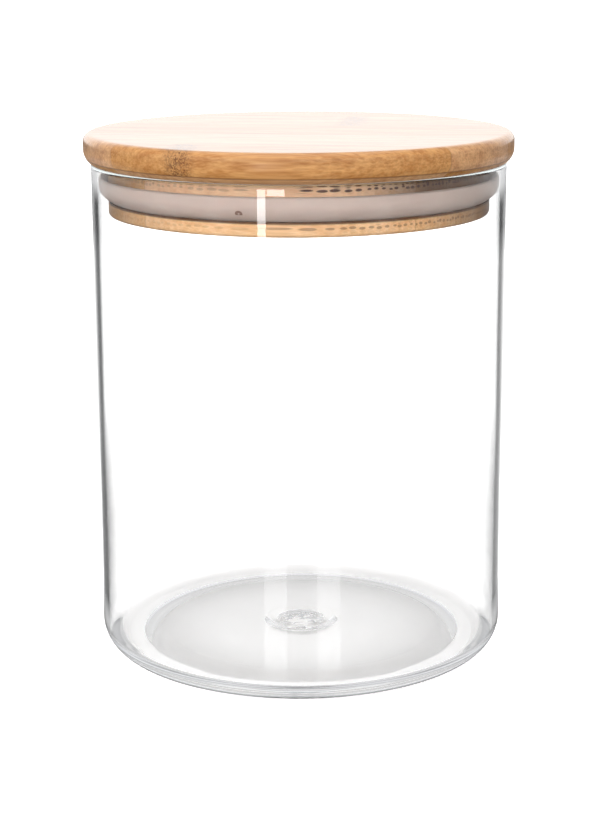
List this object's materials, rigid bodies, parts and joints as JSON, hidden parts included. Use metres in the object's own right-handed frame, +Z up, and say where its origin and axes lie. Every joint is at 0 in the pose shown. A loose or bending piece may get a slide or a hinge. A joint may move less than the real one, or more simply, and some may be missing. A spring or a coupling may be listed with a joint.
{
  "type": "lidded glass canister",
  "caption": "Round straight-walled glass canister closed by a turned bamboo plug lid with a silicone seal ring, for dry food.",
  "frame": {"origin": "middle of the base, on the plane that the jar stands on", "axes": "+Z up along the jar's axis, +X to the viewer's right, the viewer on the -Y side"},
  "size_m": [0.1044, 0.1044, 0.1293],
  "materials": {
    "glass": "clear blown borosilicate, fire-polished",
    "silicone": "translucent moulded silicone, satin",
    "bamboo": "caramelised bamboo, sanded and oiled"
  },
  "bodies": {
    "jar": {"glass_jar": "glass"},
    "lid": {"seal_ring": "silicone", "lid_bottom_strip_1": "bamboo", "lid_bottom_strip_2": "bamboo", "lid_bottom_strip_3": "bamboo", "lid_bottom_strip_4": "bamboo", "lid_bottom_strip_5": "bamboo", "lid_core_strip_1": "bamboo", "lid_core_strip_2": "bamboo", "lid_core_strip_3": "bamboo", "lid_core_strip_4": "bamboo", "lid_core_strip_5": "bamboo", "lid_top_strip_1": "bamboo", "lid_top_strip_2": "bamboo", "lid_top_strip_3": "bamboo", "lid_top_strip_4": "bamboo", "lid_top_strip_5": "bamboo"}
  },
  "joints": [
    {"name": "lid_lift", "type": "slide", "parent": "jar", "child": "lid", "axis": [0, 0, 1], "range_m": [0, 0.075]}
  ]
}
